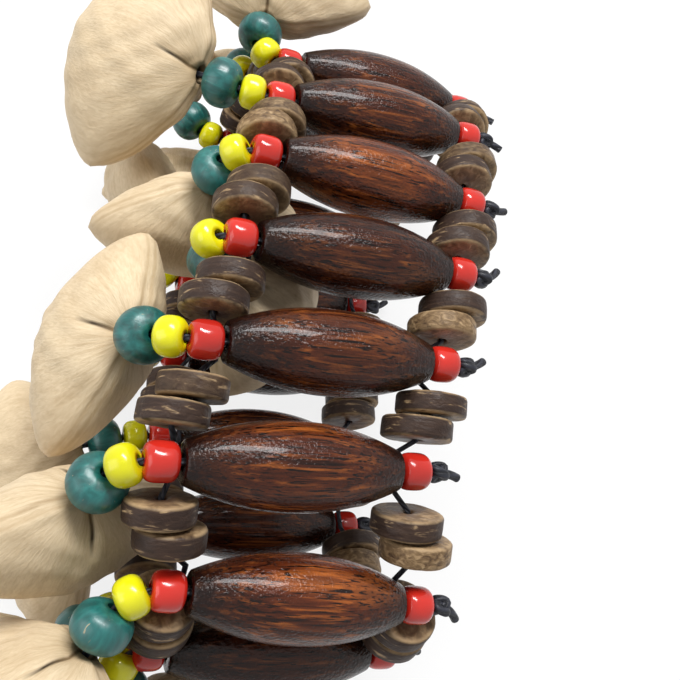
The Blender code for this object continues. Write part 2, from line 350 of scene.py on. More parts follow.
class Tree:
    """Short calls for building a node tree."""

    def __init__(self, tree):
        self.tree = tree

    def node(self, kind, settings=None, **links):
        made = self.tree.nodes.new(kind)
        for name, value in (settings or {}).items():
            setattr(made, name, value)
        for name, value in links.items():
            self.feed(made, name, value)
        return made

    def feed(self, node, name, value):
        key = int(name[1:]) if name[0] == "_" else name.replace("_", " ")
        socket = node.inputs[key]
        if isinstance(value, bpy.types.Node):
            value = next(output for output in value.outputs if output.enabled)
        if isinstance(value, bpy.types.NodeSocket):
            self.tree.links.new(value, socket)
        else:
            socket.default_value = value

    def operate(self, kind, operation, values):
        links = {f"_{i}": value for i, value in enumerate(values)}
        return self.node(kind, {"operation": operation}, **links)

    def math(self, operation, *values):
        return self.operate("ShaderNodeMath", operation, values).outputs[0]

    def vector(self, operation, *values):
        return self.operate("ShaderNodeVectorMath", operation, values).outputs[0]

    def length(self, vector):
        return self.operate("ShaderNodeVectorMath", "LENGTH", [vector]).outputs["Value"]

    def parts(self, vector):
        """The X, Y and Z of a vector."""
        return self.node("ShaderNodeSeparateXYZ", _0=vector).outputs

    def store(self, geometry, name, value, kind="FLOAT", domain="POINT"):
        """Keeps a value on a geometry as a named attribute."""
        settings = {"data_type": kind, "domain": domain}
        return self.node("GeometryNodeStoreNamedAttribute", settings,
                         Geometry=geometry, Name=name, Value=value)

    def end(self, geometry, material):
        """Ends a geometry tree with smooth faces, the material and the output."""
        smooth = self.node("GeometryNodeSetShadeSmooth", Geometry=geometry)
        finished = self.node("GeometryNodeSetMaterial", Geometry=smooth, Material=material)
        self.node("NodeGroupOutput", Geometry=finished)


def new_geometry_tree(name, inputs):
    """A Geometry Nodes tree with a geometry input and output, and the named inputs after it."""
    tree = bpy.data.node_groups.new(name, "GeometryNodeTree")
    tree.interface.new_socket("Geometry", in_out="INPUT", socket_type="NodeSocketGeometry")
    for label, kind in inputs:
        tree.interface.new_socket(label, in_out="INPUT", socket_type=f"NodeSocket{kind}")
    tree.interface.new_socket("Geometry", in_out="OUTPUT", socket_type="NodeSocketGeometry")
    return tree


def threaded_tree():
    """Rounded rings threaded at each point, along the point's way attribute."""
    numbers = ("Length", "Diameter", "Bore", "Squareness", "Dome", "Wobble")
    inputs = [(label, "Float") for label in numbers]
    inputs += [("Steps", "Int"), ("Seed", "Int"), ("Material", "Material")]
    tree = new_geometry_tree("threaded_pieces", inputs)
    t = Tree(tree)
    given = t.node("NodeGroupInput").outputs
    wall = t.math("MULTIPLY", t.math("SUBTRACT", given["Diameter"], given["Bore"]), 0.25)
    radius = t.math("ADD", wall, t.math("MULTIPLY", given["Bore"], 0.5))
    ring = t.node("GeometryNodeCurvePrimitiveCircle", Resolution=given["Steps"], Radius=radius)
    upright = t.node("GeometryNodeSetCurveNormal", {"mode": "Z_UP"}, Curve=ring.outputs["Curve"])
    section = t.node("GeometryNodeCurvePrimitiveCircle", Resolution=RING_STEPS, Radius=1.0)
    rounded = []
    for value in t.parts(t.node("GeometryNodeInputPosition"))[:2]:
        power = t.math("POWER", t.math("ABSOLUTE", value), given["Squareness"])
        rounded.append(t.math("MULTIPLY", power, t.math("SIGN", value)))
    across, lengthways = rounded
    domed = t.math("MULTIPLY_ADD", t.math("MAXIMUM", across, 0.0), 2.0, -1.0)
    step = t.math("MULTIPLY", t.math("SUBTRACT", domed, across), given["Dome"])
    wide = t.math("MULTIPLY", t.math("ADD", across, step), wall)
    long = t.math("MULTIPLY", lengthways, t.math("MULTIPLY", given["Length"], 0.5))
    profile = t.node("ShaderNodeCombineXYZ", _0=wide, _1=long)
    shaped = t.node("GeometryNodeSetPosition", Geometry=section.outputs["Curve"], Position=profile)
    swept = t.node("GeometryNodeCurveToMesh", Curve=upright, Profile_Curve=shaped)
    local = t.store(swept, "local", t.node("GeometryNodeInputPosition"), "FLOAT_VECTOR")
    way = t.node("GeometryNodeInputNamedAttribute", {"data_type": "FLOAT_VECTOR"}, Name="way")
    aligned = t.node("FunctionNodeAlignRotationToVector", {"axis": "Z"},
                     Vector=way.outputs["Attribute"])
    chance = t.node("FunctionNodeRandomValue", {"data_type": "FLOAT"}, Seed=given["Seed"])
    value = next(output for output in chance.outputs if output.enabled)
    angle = t.math("MULTIPLY", value, math.tau)
    spin = t.node("FunctionNodeAxisAngleToRotation", Axis=(0, 0, 1), Angle=angle)
    turned = t.node("FunctionNodeRotateRotation", {"rotation_space": "LOCAL"},
                    Rotation=aligned, Rotate_By=spin)
    placed = t.node("GeometryNodeInstanceOnPoints", Points=given["Geometry"],
                    Instance=local, Rotation=turned)
    which = t.store(placed, "which", value, domain="INSTANCE")
    real = t.node("GeometryNodeRealizeInstances", Geometry=which)
    noise = t.node("ShaderNodeTexNoise", {"noise_dimensions": "3D"},
                   Scale=WOBBLE_SCALE, Detail=2.0)
    bump = t.math("MULTIPLY", t.math("SUBTRACT", noise.outputs["Fac"], 0.5), given["Wobble"])
    push = t.vector("SCALE", t.node("GeometryNodeInputNormal").outputs["Normal"])
    t.feed(push.node, "Scale", bump)
    t.end(t.node("GeometryNodeSetPosition", Geometry=real, Offset=push), given["Material"])
    return tree


def cord_tree():
    """A round cord along every chain of edges, which keeps how far along and round a point is."""
    inputs = [("Diameter", "Float"), ("Steps", "Int"), ("Material", "Material")]
    tree = new_geometry_tree("round_cord", inputs)
    t = Tree(tree)
    given = t.node("NodeGroupInput").outputs
    path = t.node("GeometryNodeMeshToCurve", Mesh=given["Geometry"])
    measured = t.store(path, "along", t.node("GeometryNodeSplineParameter").outputs["Length"])
    section = t.node("GeometryNodeCurvePrimitiveCircle", Resolution=given["Steps"],
                     Radius=t.math("MULTIPLY", given["Diameter"], 0.5))
    around = t.node("GeometryNodeSplineParameter").outputs["Factor"]
    marked = t.store(section.outputs["Curve"], "around", around)
    swept = t.node("GeometryNodeCurveToMesh", Curve=measured, Profile_Curve=marked, Fill_Caps=True)
    t.end(t.node("GeometryNodeRealizeInstances", Geometry=swept), given["Material"])
    return tree


def add_object(name, mesh):
    obj = bpy.data.objects.new(name, mesh)
    bpy.context.scene.collection.objects.link(obj)
    return obj


def grow(obj, tree, values):
    """Runs a Geometry Nodes tree on an object and keeps the result as a plain mesh."""
    modifier = obj.modifiers.new(tree.name, "NODES")
    modifier.node_group = tree
    for item in tree.interface.items_tree:
        if item.in_out == "INPUT" and item.name in values:
            modifier[item.identifier] = values[item.name]
    graph = bpy.context.evaluated_depsgraph_get()
    mesh = bpy.data.meshes.new_from_object(obj.evaluated_get(graph), depsgraph=graph)
    obj.modifiers.clear()
    before = obj.data
    obj.data = mesh
    mesh.name = obj.name
    bpy.data.meshes.remove(before)
    return obj


def settle(obj, body, nodes):
    """Ties a finished piece to its body and the solids it stands for."""
    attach(obj, body)
    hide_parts(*nodes)


def cord_nodes():
    return [f"beaded_cord_{number:02d}" for number in range(1, ROWS + 1)]


def shared_tree(make, name):
    return bpy.data.node_groups.get(name) or make()


def threaded(name, places, values, nodes):
    """One object with a ring at each (place, way)."""
    mesh = bpy.data.meshes.new(name)
    mesh.from_pydata([place for place, _ in places], [], [])
    keep(mesh, "way", [way for _, way in places])
    obj = grow(add_object(name, mesh), shared_tree(threaded_tree, "threaded_pieces"), values)
    settle(obj, BODY, nodes)


def corded(name, chains, diameter, steps, material, nodes, closed=False):
    """One object with a cord along each chain of points."""
    points, edges = [], []
    for chain in chains:
        first = len(points)
        points += chain
        edges += [(i, i + 1) for i in range(first, len(points) - 1)]
        if closed:
            edges.append((len(points) - 1, first))
    mesh = bpy.data.meshes.new(name)
    mesh.from_pydata(points, edges, [])
    values = {"Diameter": diameter, "Steps": steps, "Material": material}
    obj = grow(add_object(name, mesh), shared_tree(cord_tree, "round_cord"), values)
    settle(obj, BODY, nodes)


def streaks_group():
    """Fibres drawn out along one axis of a vector, coarse and fine."""
    name = "drawn_fibres"
    if name in bpy.data.node_groups:
        return bpy.data.node_groups[name]
    tree = bpy.data.node_groups.new(name, "ShaderNodeTree")
    tree.interface.new_socket("Vector", in_out="INPUT", socket_type="NodeSocketVector")
    for label, default in (("Scale", 400.0), ("Draw", 0.1), ("Seed", 0.0), ("Waviness", 0.6)):
        socket = tree.interface.new_socket(label, in_out="INPUT", socket_type="NodeSocketFloat")
        socket.default_value = default
    for label in ("Coarse", "Fine", "Fleck"):
        tree.interface.new_socket(label, in_out="OUTPUT", socket_type="NodeSocketFloat")
    t = Tree(tree)
    given = t.node("NodeGroupInput").outputs
    drawn = t.node("ShaderNodeCombineXYZ", _0=1.0, _1=1.0, _2=given["Draw"])
    vector = t.vector("MULTIPLY", given["Vector"], drawn.outputs[0])
    noise = []
    for scale, detail, shift in ((0.28, 3.0, 0.0), (1.0, 5.0, 17.0), (2.6, 2.0, 31.0)):
        made = t.node("ShaderNodeTexNoise", {"noise_dimensions": "4D"}, Vector=vector,
                      W=t.math("ADD", given["Seed"], shift),
                      Scale=t.math("MULTIPLY", given["Scale"], scale),
                      Detail=detail, Distortion=given["Waviness"])
        noise.append(made.outputs["Fac"])
    output = t.node("NodeGroupOutput")
    for label, value in zip(("Coarse", "Fine", "Fleck"), noise):
        t.feed(output, label, value)
    return tree


class Finish(Tree):
    """A material being built round its Principled shader."""

    def __init__(self, name):
        self.material = bpy.data.materials.new(name)
        self.material.use_nodes = True
        super().__init__(self.material.node_tree)
        self.shader = self.tree.nodes["Principled BSDF"]

    def attribute(self, name, output):
        return self.node("ShaderNodeAttribute", {"attribute_name": name}).outputs[output]

    def streaks(self, vector, scale, draw, seed, waviness=0.6):
        made = self.node("ShaderNodeGroup", {"node_tree": streaks_group()}, Vector=vector,
                         Scale=scale, Draw=draw, Seed=seed, Waviness=waviness)
        return made.outputs

    def ramp(self, value, *stops):
        """A colour ramp through (position, colour) stops."""
        made = self.node("ShaderNodeValToRGB", _0=value)
        elements = made.color_ramp.elements
        while len(elements) < len(stops):
            elements.new(0.5)
        for element, (position, colour) in zip(elements, stops):
            element.position = position
            element.color = (*colour, 1) if len(colour) == 3 else colour
        return made.outputs["Color"]

    def span(self, value, low, high, to_low=0.0, to_high=1.0):
        """A value mapped from one range to another, and kept inside it."""
        made = self.node("ShaderNodeMapRange", {"clamp": True},
                         _0=value, _1=low, _2=high, _3=to_low, _4=to_high)
        return made.outputs[0]

    def mix(self, share, first, second, kind="MIX"):
        made = self.node("ShaderNodeMix", {"data_type": "RGBA", "blend_type": kind})
        self.feed(made, "Factor", share)
        for name, value in (("A_Color", first), ("B_Color", second)):
            socket = next(s for s in made.inputs if s.identifier == name)
            if isinstance(value, bpy.types.NodeSocket):
                self.tree.links.new(value, socket)
            else:
                socket.default_value = (*value, 1)
        return next(s for s in made.outputs if s.identifier == "Result_Color")

    def bump(self, height, strength, distance):
        made = self.node("ShaderNodeBump", Height=height, Strength=strength, Distance=distance)
        self.feed(self.shader, "Normal", made.outputs["Normal"])

    def set(self, **values):
        for name, value in values.items():
            self.feed(self.shader, name, value)
        return self.material


def lacquered_wood():
    """Dark stained wood with ochre grain, darker ends and a bumpy lacquer."""
    c = colours()
    f = Finish("lacquered_wood")
    local = f.attribute("local", "Vector")
    seed = f.attribute("which", "Fac")
    fibres = f.streaks(local, 1400.0, 0.05, f.math("MULTIPLY", seed, 40.0), 0.7)
    figure = f.streaks(local, 260.0, 0.12, f.math("MULTIPLY", seed, 23.0), 1.6)
    end = f.span(f.math("ABSOLUTE", f.parts(local)[2]), 0.0055, 0.0140)
    base = f.ramp(fibres["Fine"], (0.34, c.wood_dark), (0.52, c.wood_mid), (0.70, c.wood_light))
    stain = f.ramp(figure["Coarse"], (0.38, c.wood_dark), (0.56, c.wood_mid), (0.72, c.wood_light))
    coloured = f.mix(0.5, base, stain)
    pores = f.span(fibres["Fleck"], 0.38, 0.47)
    coloured = f.mix(f.math("SUBTRACT", 1.0, pores), coloured, c.wood_dark)
    dull, warm = (0.62, 0.60, 0.62), (1.50, 1.28, 1.0)
    coloured = f.mix(1.0, coloured, f.mix(seed, dull, warm), "MULTIPLY")
    coloured = f.mix(f.math("MULTIPLY", end, 0.9), coloured, c.wood_dark)
    skin = f.node("ShaderNodeTexNoise", Vector=local, Scale=2200.0, Detail=2.0).outputs["Fac"]
    height = f.math("ADD", f.math("MULTIPLY", fibres["Fine"], 0.6), f.math("MULTIPLY", skin, 1.5))
    f.bump(height, 0.45, 0.0003)
    return f.set(Base_Color=coloured, Roughness=f.span(skin, 0.3, 0.75, 0.07, 0.22),
                 Coat_Weight=0.16, Coat_Roughness=0.05, Specular_IOR_Level=0.14)


def coconut(name, diameter):
    """Coconut shell: dark satin rims with tan streaks, and fibrous faces, darker by the hole."""
    c = colours()
    f = Finish(name)
    thick, edge = sizes().disc_thickness, diameter / 2
    tan, brown = (0.19, 0.120, 0.060), (0.060, 0.033, 0.019)
    worn_brown, red_brown = (0.050, 0.029, 0.020), (0.060, 0.024, 0.013)
    local = f.attribute("local", "Vector")
    chance = f.attribute("which", "Fac")
    seed = f.math("MULTIPLY", chance, 60.0)
    fibres = f.streaks(local, 700.0, 1.6, seed, 1.2)
    bands = f.streaks(local, 260.0, 5.5, f.math("ADD", seed, 7.0), 1.0)
    reach = f.length(f.vector("MULTIPLY", local, (1, 1, 0)))
    face = f.math("SUBTRACT", 1.0, f.span(reach, edge * 0.84, edge * 0.97))
    rim = f.span(f.math("ABSOLUTE", f.parts(local)[2]), thick * 0.36, thick * 0.47)
    pale = f.span(chance, 0.78, 0.86)
    dark = f.ramp(bands["Fine"], (0.42, c.coconut_dark), (0.60, worn_brown),
                  (0.70, c.coconut_light))
    light = f.ramp(fibres["Fine"], (0.30, brown), (0.50, tan), (0.72, c.coconut_light))
    side = f.mix(pale, dark, light)
    worn = f.math("MULTIPLY", rim, f.span(fibres["Coarse"], 0.34, 0.52))
    side = f.mix(worn, side, c.coconut_light)
    pit = f.math("MULTIPLY", f.span(reach, edge * 0.30, edge * 0.80, 1.0, 0.0),
                 f.span(bands["Coarse"], 0.30, 0.50))
    sawn = f.mix(pit, light, red_brown)
    f.bump(f.math("ADD", fibres["Fine"], f.math("MULTIPLY", bands["Coarse"], 0.8)), 0.5, 0.0004)
    return f.set(Base_Color=f.mix(f.math("MULTIPLY", face, 0.85), side, sawn),
                 Roughness=f.span(fibres["Coarse"], 0.3, 0.7, 0.36, 0.62),
                 Specular_IOR_Level=0.2)


def glossy(name, colour, dark_share, roughness):
    """Glossy opaque bead colour, with faint clouds and a few dull marks."""
    f = Finish(name)
    local = f.attribute("local", "Vector")
    seed = f.math("MULTIPLY", f.attribute("which", "Fac"), 30.0)
    clouds = f.streaks(local, 500.0, 1.0, seed)
    deep = [value * dark_share for value in colour]
    f.bump(clouds["Coarse"], 0.10, 0.0003)
    return f.set(Base_Color=f.ramp(clouds["Coarse"], (0.3, deep), (0.62, colour)),
                 Roughness=f.span(clouds["Fine"], 0.35, 0.75, roughness, roughness + 0.16),
                 Coat_Weight=0.25, Coat_Roughness=0.06, Specular_IOR_Level=0.35)


def painted_wood():
    """Green paint on turned wood, with brush marks and a little wear."""
    f = Finish("painted_green_wood")
    green, pale, bare = tuple(colours().green), (0.022, 0.175, 0.160), (0.30, 0.26, 0.16)
    deep = [value * 0.45 for value in green]
    local = f.attribute("local", "Vector")
    chance = f.attribute("which", "Fac")
    fibres = f.streaks(local, 900.0, 0.25, f.math("MULTIPLY", chance, 30.0), 0.8)
    paint = f.ramp(fibres["Fine"], (0.30, deep), (0.52, green), (0.74, pale))
    paint = f.mix(f.span(chance, 0.5, 1.0, 0.0, 0.5), paint, pale)
    f.bump(fibres["Fine"], 0.30, 0.0003)
    return f.set(Base_Color=f.mix(f.span(fibres["Fleck"], 0.70, 0.76), paint, bare),
                 Roughness=f.span(fibres["Coarse"], 0.3, 0.7, 0.30, 0.52),
                 Specular_IOR_Level=0.5, Coat_Weight=0.15, Coat_Roughness=0.2)


def twisted_cord(name, pitch, roughness):
    """Dark cord with its strands laid in a twist, with painted shade in the grooves between the
    strands and a painted highlight on their crowns.
    """
    f = Finish(name)
    colour = tuple(colours().cord)
    # painted shade for the grooves between strands
    dark = [value * 0.4 for value in colour]
    # painted highlight for the crowns of the strands
    light = [min(1, value * 2.6) for value in colour]
    around = f.math("MULTIPLY", f.attribute("around", "Fac"), 3.0)
    turns = f.math("ADD", around, f.math("DIVIDE", f.attribute("along", "Fac"), pitch))
    strand = f.math("ABSOLUTE", f.math("SINE", f.math("MULTIPLY", turns, math.pi)))
    place = f.node("ShaderNodeTexCoord").outputs["Object"]
    dust = f.node("ShaderNodeTexNoise", Vector=place, Scale=1500.0, Detail=2.0).outputs["Fac"]
    # painted shade and highlight: each groove darker and each crown lighter, mixed with random
    # dust
    shade = f.math("ADD", f.math("MULTIPLY", strand, 0.6), f.math("MULTIPLY", dust, 0.4))
    f.bump(strand, 0.7, 0.0003)
    return f.set(Base_Color=f.ramp(shade, (0.15, dark), (0.6, colour), (0.95, light)),
                 Roughness=f.span(dust, 0.3, 0.7, roughness, roughness + 0.2),
                 Specular_IOR_Level=0.3)


def bare_nutshell():
    """Pale shell with a fine felt of fibres that run to the cord hole, and painted shade in the
    crease by the hole and round the hole.
    """
    f = Finish("bare_nutshell")
    light, dark = tuple(colours().shell_light), tuple(colours().shell_dark)
    middle = [(a * 0.75 + b * 0.25) for a, b in zip(light, dark)]
    # the darkest tone, used as painted shade in the crease
    crease_shade = [value * 0.12 for value in dark]
    fibre = f.attribute("fibre", "Vector")
    place = f.parts(f.attribute("local", "Vector"))
    polar = f.parts(fibre)[2]
    seed = f.math("MULTIPLY", f.attribute("which", "Fac"), 50.0)
    felt = f.streaks(fibre, 30.0, 0.35, seed, 0.5)
    strands = f.streaks(fibre, 12.0, 0.08, f.math("ADD", seed, 5.0), 0.4)
    patch = f.streaks(fibre, 1.6, 0.8, f.math("ADD", seed, 3.0), 0.9)
    base = f.ramp(patch["Fine"], (0.30, middle), (0.60, light))
    base = f.mix(f.span(felt["Fine"], 0.34, 0.62, 0.26, 0.0), base, dark)
    drawn = f.math("MULTIPLY", f.span(strands["Fine"], 0.50, 0.64),
                   f.span(polar, 0.3, 1.9, 0.36, 0.10))
    base = f.mix(drawn, base, dark)
    beside = f.math("ABSOLUTE", f.math("SUBTRACT", f.math("ABSOLUTE", place[1]), 0.0006))
    seam = f.math("MULTIPLY", f.span(beside, 0.0001, 0.0004, 0.4, 0.0),
                  f.span(polar, 1.2, 1.7, 1.0, 0.0))
    base = f.mix(seam, base, dark)
    # painted shade: the crease by the cord hole is darkened nearly to black
    crease = f.math("MULTIPLY", f.span(f.math("ABSOLUTE", place[0]), 0.0001, 0.0004, 1.0, 0.0),
                    f.span(polar, 0.55, 0.85, 1.0, 0.0))
    base = f.mix(crease, base, crease_shade)
    # painted shade round the cord hole, where the bead and cord sit over it
    base = f.mix(f.span(polar, 0.12, 0.5, 0.6, 0.0), base, dark)
    height = f.math("ADD", felt["Fine"], f.math("MULTIPLY", strands["Fine"], 0.8))
    f.bump(f.math("SUBTRACT", height, f.math("MULTIPLY", crease, 2.0)), 0.25, 0.0004)
    return f.set(Base_Color=base, Roughness=f.span(felt["Coarse"], 0.3, 0.7, 0.50, 0.66),
                 Specular_IOR_Level=0.25)


def barrel_mesh(name, seed):
    """An oval wooden bead, turned round its Z axis, with its hole and softened tips."""
    size = sizes()
    half = size.barrel_length / 2
    widest, tip, bore = size.barrel_diameter / 2, size.barrel_tip / 2, size.barrel_bore / 2
    softened, fullness, steps, sides = 0.994, 2.1, 28, 48
    outline = [(bore, half * 0.4), (bore, half * 0.985), (bore * 1.12, half)]
    outline += [(tip * 0.86, half), (tip * 0.97, half * softened)]
    end = len(outline)
    for i in range(1, steps):
        h = math.cos(math.pi * i / steps) * softened
        outline.append((tip + (widest - tip) * (1 - abs(h) ** fullness), half * h))
    outline += [(radius, -z) for radius, z in reversed(outline[:end])]
    points, faces = [], []
    for radius, z in outline:
        for side in range(sides):
            turn = math.tau * side / sides
            points.append((radius * math.cos(turn), radius * math.sin(turn), z))
    count = len(outline)
    for ring in range(count):
        after = (ring + 1) % count
        for side in range(sides):
            beside = (side + 1) % sides
            low, high = ring * sides, after * sides
            faces.append((low + side, high + side, high + beside, low + beside))
    mesh = bpy.data.meshes.new(name)
    mesh.from_pydata(points, [], faces)
    keep(mesh, "local", points)
    keep(mesh, "which", [seed] * len(points))
    return mesh


def keep(mesh, name, values):
    """Keeps one number or one vector for each point of a mesh."""
    if isinstance(values[0], float):
        data = mesh.attributes.new(name, "FLOAT", "POINT").data
        data.foreach_set("value", values)
    else:
        data = mesh.attributes.new(name, "FLOAT_VECTOR", "POINT").data
        data.foreach_set("vector", [part for vector in values for part in vector])


def close_up(mesh, placed):
    """Puts a mesh in its place, with its faces outwards and smooth."""
    mesh.transform(placed)
    made = bmesh.new()
    made.from_mesh(mesh)
    bmesh.ops.recalc_face_normals(made, faces=made.faces)
    made.to_mesh(mesh)
    made.free()
    mesh.shade_smooth()


def rounded_sum(first, second, power):
    return (abs(first) ** power + abs(second) ** power) ** (1 / power)


def hump(distance, width):
    """1 at no distance, falling smoothly away over the width."""
    return math.exp(-((distance / width) ** 2))


def shell_reach(way, half):
    """How far the nutshell's skin lies in a direction.

    It has two horns, shoulders and a crease by the hole, and a doubled seam.
    """
    body = rounded_sum(way.y / half.y, way.z / half.z, SHELL_ROUNDNESS)
    reach = 1 / rounded_sum(body, way.x / half.x, SHELL_HORNS)
    upper = max(0, way.z)
    shoulder = hump(abs(way.x) - 0.5, 0.2) * upper
    seam = hump(abs(way.y) * reach - SEAM_APART, 0.0005) * min(1, upper * 3)
    crease = hump(way.x * reach, 0.0008) * upper ** 3
    waves = math.sin(way.x * 11 + way.y * 7) * math.sin(way.z * 9 + way.y * 5)
    relief = SHOULDER_HEIGHT * shoulder + SEAM_HEIGHT * seam - CREASE_DEPTH * crease
    return reach - SKIN_INSET + relief + WAVE_HEIGHT * waves


def shell_mesh(name, share, seed):
    """A hollow nutshell with its hole at the top, in its own frame."""
    size = sizes()
    half = Vector((size.shell_width, size.shell_thickness, size.shell_depth)) * share / 2
    hole = size.shell_hole / 2
    top = half.z * SHELL_TOP
    hang = top - size.shell_wall / 2
    start = math.asin(hole / (half.z - size.shell_wall))
    rings, sides, least = 44, 88, 0.001
    points, fibres, skin, faces = [], [], [], []
    for wall in (0, size.shell_wall):
        for ring in range(rings + 1):
            polar = start + (math.pi - start) * ring / rings
            for side in range(sides):
                turn = math.tau * side / sides
                level = Vector((math.cos(turn), math.sin(turn), 0))
                way = level * math.sin(polar) + UP * math.cos(polar)
                place = way * max(shell_reach(way, half) - wall, least)
                if ring == 0:
                    place = level * hole + UP * (top - wall)
                points.append(place - UP * hang)
                fibres.append(Vector((level.x, level.y, polar)))
                skin.append(place)
    step = (rings + 1) * sides
    for ring in range(rings):
        for side in range(sides):
            beside = (side + 1) % sides
            a, b = ring * sides + side, ring * sides + beside
            faces.append((a, a + sides, b + sides, b))
            faces.append((step + b, step + b + sides, step + a + sides, step + a))
    for side in range(sides):
        beside = (side + 1) % sides
        faces.append((side, beside, step + beside, step + side))
    mesh = bpy.data.meshes.new(name)
    mesh.from_pydata(points, [], faces)
    keep(mesh, "fibre", fibres)
    keep(mesh, "which", [seed] * len(points))
    keep(mesh, "local", skin)
    made = bmesh.new()
    made.from_mesh(mesh)
    bmesh.ops.remove_doubles(made, verts=made.verts, dist=MERGE)
    made.to_mesh(mesh)
    made.free()
    mesh.shade_smooth()
    return mesh


def knot_loop(place, way, side):
    """The points of an overhand knot round a cord."""
    size = sizes()
    thick = size.cord_diameter * KNOT_CORD
    wide = (size.knot_diameter - thick) / 6
    long = (size.knot_length - thick) / 2
    across = way.cross(side).normalized()
    count, drawn_in = 48, 0.8
    points = []
    for i in range(count):
        t = math.tau * i / count
        x = math.sin(t) + 2 * math.sin(2 * t)
        y = math.cos(t) - 2 * math.cos(2 * t)
        level = place + (side * x + across * y) * wide
        points.append(level - way * math.sin(3 * t) * long * drawn_in)
    return points


class BraceletOperator:
    """What every maker of pieces shares."""

    bl_options = {"REGISTER", "UNDO"}


class BRACELET_OT_barrels(BraceletOperator, bpy.types.Operator):
    """Make the oval wooden beads"""

    bl_idname = "bracelet.barrels"
    bl_label = "Oval Wooden Beads"

    def execute(self, context):
        lay = Lay()
        wood = lacquered_wood()
        for number, row in enumerate(lay.rows, 1):
            mesh = barrel_mesh(f"oval_bead_{number:02d}", (number * BARREL_SEED) % 1)
            mesh.materials.append(wood)
            turned = (lay.turned @ row.axis).to_track_quat("Z", "Y").to_matrix()
            spin = Matrix.Rotation(number * BARREL_SPIN, 3, "Z")
            close_up(mesh, Matrix.Translation(lay.frame @ row.middle) @ (turned @ spin).to_4x4())
            node = f"barrel_bead_{number:02d}"
            settle(add_object(mesh.name, mesh), f"barrel_{number:02d}", [node])
        return {"FINISHED"}


class BRACELET_OT_small_beads(BraceletOperator, bpy.types.Operator):
    """Make the red, yellow and green beads"""

    bl_idname = "bracelet.small_beads"
    bl_label = "Small Beads"

    def execute(self, context):
        lay, size, colour = Lay(), sizes(), colours()
        reds, yellows, greens = [], [], []
        for row in lay.rows:
            hang = lay.hanging(row)
            reds.append(hang(lay.red))
            middle = lay.tip + lay.red
            ahead = lay.knot_side(row, middle + MM) - lay.knot_side(row, middle)
            reds.append((lay.knot_side(row, middle), ahead.normalized()))
            yellows.append(hang(lay.yellow))
            greens.append(hang(lay.green))
        bore = size.cord_diameter * BORE_ROOM
        red = glossy("glossy_red", tuple(colour.red), dark_share=0.72, roughness=0.12)
        yellow = glossy("glossy_yellow", tuple(colour.yellow), dark_share=0.8, roughness=0.14)
        green = painted_wood()
        kinds = (
            ("red_beads", reds, size.red_length, size.red_diameter, 0.62, 0.0, red),
            ("yellow_beads", yellows, size.yellow_length, size.yellow_diameter, 0.78, 0.0, yellow),
            ("green_beads", greens, size.green_length, size.green_diameter, 0.85, 0.00012, green),
        )
        for seed, (name, places, length, diameter, square, wobble, material) in enumerate(kinds):
            values = {"Length": length, "Diameter": diameter, "Bore": bore,
                      "Squareness": square, "Dome": 1.0, "Wobble": wobble,
                      "Steps": 32, "Seed": seed, "Material": material}
            threaded(name, places, values, cord_nodes())
        return {"FINISHED"}


class BRACELET_OT_discs(BraceletOperator, bpy.types.Operator):
    """Make the coconut discs and the elastic loops through them"""

    bl_idname = "bracelet.discs"
    bl_label = "Coconut Discs"

    def execute(self, context):
        lay, size = Lay(), sizes()
        rubber = twisted_cord("black_elastic", pitch=0.0016, roughness=0.5)
        bore = size.elastic_diameter * BORE_ROOM
        strings = (
            ("shell_side", -1, size.disc_diameter),
            ("knot_side", 1, size.knot_disc_diameter),
        )
        for seed, (name, side, diameter) in enumerate(strings, 11):
            places, thread = lay.discs(side)
            shell = coconut(f"coconut_shell_{name}", diameter)
            values = {"Length": size.disc_thickness, "Diameter": diameter, "Bore": bore,
                      "Squareness": 0.32, "Dome": 0.0, "Wobble": 0.00026,
                      "Steps": 40, "Seed": seed, "Material": shell}
            node = [f"disc_string_{name}"]
            threaded(f"coconut_discs_{name}", places, values, node)
            corded(f"elastic_loop_{name}", [thread], size.elastic_diameter, 10, rubber,
                   node, True)
        return {"FINISHED"}


class BRACELET_OT_cords(BraceletOperator, bpy.types.Operator):
    """Make the row cords, their knots and their tails"""

    bl_idname = "bracelet.cords"
    bl_label = "Row Cords"

    def execute(self, context):
        lay, size = Lay(), sizes()
        waxed = twisted_cord("waxed_cord", pitch=0.0022, roughness=0.38)
        chains, knots, tails = [], [], []
        hang_steps, sides = 40, 12
        for row in lay.rows:
            hang = lay.hanging(row)
            knot = lay.tip + ELASTIC_GAP + size.red_length + size.knot_length / 2
            end = knot + size.knot_length / 2
            side = (lay.turned @ row.axis.cross(row.out)).normalized()
            bend = side * TAIL_SWAY * math.cos(row.index) - UP * TAIL_DROOP
            tail = []
            for i in range(TAIL_STEPS + 1):
                share = i / TAIL_STEPS
                straight = lay.knot_side(row, knot + size.tail_length * TAIL_STRAIGHT * share)
                tail.append(straight + bend * size.tail_length * share ** 2)
            tails.append(tail)
            chain = [lay.knot_side(row, along) for along in (knot, lay.tip)]
            chain += [lay.frame @ row.at(-lay.tip * CORD_IN_TIP)]
            reach = lay.pivot + size.shell_wall * CORD_PAST_WALL
            chain += [hang(reach * i / hang_steps)[0] for i in range(hang_steps + 1)]
            chains.append(chain)
            ahead = (lay.knot_side(row, end) - lay.knot_side(row, knot)).normalized()
            knots.append(knot_loop(lay.knot_side(row, knot), ahead, side))
        thick, nodes = size.cord_diameter, cord_nodes()
        corded("row_cords", chains, thick, sides, waxed, nodes)
        corded("cord_knots", knots, thick * KNOT_CORD, sides, waxed, nodes, True)
        corded("cord_tails", tails, thick * TAIL_CORD, sides, waxed, nodes)
        return {"FINISHED"}


